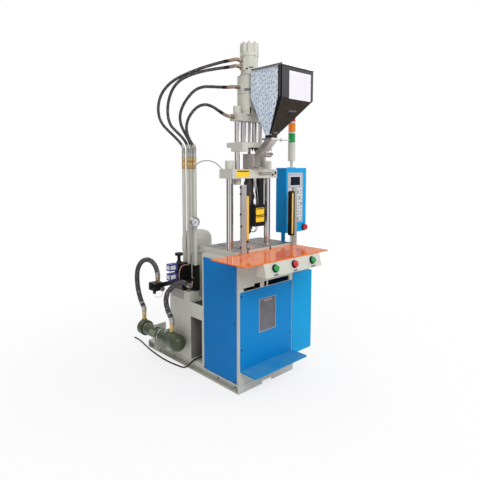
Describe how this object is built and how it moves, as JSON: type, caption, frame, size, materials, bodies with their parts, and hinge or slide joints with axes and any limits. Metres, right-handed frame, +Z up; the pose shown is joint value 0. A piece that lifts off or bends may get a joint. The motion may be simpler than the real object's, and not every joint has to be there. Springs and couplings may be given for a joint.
{
  "type": "vertical injection moulding machine",
  "caption": "Upright hydraulic plastic moulding machine: tie bar clamp, screw injection unit with side hopper, control box and oil cooler.",
  "frame": {"origin": "on the floor, at the centre of the rectangle of anchor holes", "axes": "+X to the operator's right, +Y to the back, +Z up along the tie bars"},
  "size_m": [1.071, 1.6762, 2.428],
  "materials": {
    "machine_paint": "warm beige machine enamel, satin",
    "blue_paint": "deep blue enamel, satin",
    "light_blue_paint": "light blue enamel, satin",
    "dark_green_paint": "dark green enamel, semi-gloss",
    "black_paint": "black enamel, satin",
    "machined_steel": "ground and oiled steel",
    "hard_chrome": "polished hard chrome",
    "stainless_sheet": "bright stainless sheet",
    "brass": "dull machined brass",
    "aluminium": "anodised extrusion",
    "orange_acrylic": "glossy orange acrylic",
    "yellow_plastic": "yellow housing",
    "green_plastic": "green push button",
    "red_plastic": "red push button",
    "lens_plastic": "ribbed signal lenses",
    "grey_plastic": "light grey membrane panel",
    "black_plastic": "black moulded plastic",
    "blue_plastic": "blue-violet coil housing",
    "rubber": "black hose cover"
  },
  "bodies": {
    "machine": {"base_frame": "machine_paint", "cabinet_frame": "machine_paint", "side_panels": "blue_paint", "front_panel": "light_blue_paint", "step_plate": "light_blue_paint", "switch_cabinet": "light_blue_paint", "machine_table": "machined_steel", "tie_bar_bushes": "brass", "clamp_cylinder": "black_paint", "table_board": "orange_acrylic", "button_console": "machine_paint", "button_collars": "black_plastic", "curtain_posts": "aluminium", "light_curtains": "yellow_plastic", "control_box": "light_blue_paint", "keypad_panel": "grey_plastic", "signal_tower": "machine_paint", "tower_lenses": "lens_plastic", "oil_tank": "machine_paint", "electric_motor": "machine_paint", "valve_block": "black_paint", "solenoid_coils": "blue_plastic", "riser_pipes": "machine_paint", "hose_fittings": "brass", "pressure_gauge": "machined_steel", "oil_cooler": "dark_green_paint", "cooler_brackets": "machine_paint", "tower_hoses": "rubber", "cooler_hoses": "rubber", "power_cable": "rubber"},
    "moving_head": {"tie_bars": "hard_chrome", "crosshead": "machine_paint", "rod_nuts": "machine_paint", "lower_yoke": "black_paint", "clamp_rod": "hard_chrome", "guide_rods": "hard_chrome", "top_plate": "machine_paint", "injection_cylinder": "machine_paint", "hydraulic_motor": "machine_paint", "motor_cap": "machine_paint", "barrel": "machined_steel", "heater_bands": "machined_steel", "nozzle": "machined_steel", "barrel_cover": "black_paint", "feed_block": "machined_steel", "feed_chute": "stainless_sheet", "chute_plug": "stainless_sheet", "gate_housing": "stainless_sheet", "hopper": "stainless_sheet"},
    "injection_unit": {"injection_plate": "machine_paint", "injection_piston": "hard_chrome"},
    "screw_body": {"screw": "hard_chrome"},
    "slide_gate": {"slide_gate": "stainless_sheet"},
    "hopper_lid": {"hopper_lid": "stainless_sheet"},
    "left_button": {"left_button": "green_plastic"},
    "stop_button": {"stop_button": "red_plastic"},
    "right_button": {"right_button": "green_plastic"},
    "emergency_stop": {"emergency_stop": "red_plastic"},
    "relief_knob": {"relief_knob": "black_plastic"},
    "gauge_needle": {"gauge_needle": "black_paint"}
  },
  "joints": [
    {"name": "clamp_slide", "type": "slide", "parent": "machine", "child": "moving_head", "axis": [0, 0, 1], "range_m": [-0.07, 0], "deforming": ["tower_hoses"]},
    {"name": "injection_slide", "type": "slide", "parent": "moving_head", "child": "injection_unit", "axis": [0, 0, 1], "range_m": [0, 0.14]},
    {"name": "screw_turn", "type": "hinge", "parent": "injection_unit", "child": "screw_body", "pos_m": [0, -0.385, 1.4], "axis": [0, 0, 1], "continuous": true},
    {"name": "gate_slide", "type": "slide", "parent": "moving_head", "child": "slide_gate", "axis": [1, 0, 0], "range_m": [0, 0.06]},
    {"name": "lid_hinge", "type": "hinge", "parent": "moving_head", "child": "hopper_lid", "pos_m": [0.087, -0.4712, 2.22], "axis": [-1, 0, 0], "range_deg": [0, 92]},
    {"name": "left_button_press", "type": "slide", "parent": "machine", "child": "left_button", "axis": [0, 0.959, -0.2833], "range_m": [0, 0.004], "stiffness_N_per_m": 600, "springref_m": -0.003},
    {"name": "stop_button_press", "type": "slide", "parent": "machine", "child": "stop_button", "axis": [0, 0.959, -0.2833], "range_m": [0, 0.004], "stiffness_N_per_m": 600, "springref_m": -0.003},
    {"name": "right_button_press", "type": "slide", "parent": "machine", "child": "right_button", "axis": [0, 0.959, -0.2833], "range_m": [0, 0.004], "stiffness_N_per_m": 600, "springref_m": -0.003},
    {"name": "emergency_stop_press", "type": "slide", "parent": "machine", "child": "emergency_stop", "axis": [0, 1, 0], "range_m": [0, 0.004]},
    {"name": "relief_knob_turn", "type": "hinge", "parent": "machine", "child": "relief_knob", "pos_m": [-0.28, 0.11, 0.86], "axis": [0, 0, 1], "continuous": true},
    {"name": "gauge_needle_turn", "type": "hinge", "parent": "machine", "child": "gauge_needle", "pos_m": [-0.24, -0.05, 1.142], "axis": [0, 1, 0], "range_deg": [0, 270], "stiffness_Nm_per_rad": 0.002, "springref_deg": -17.19}
  ]
}
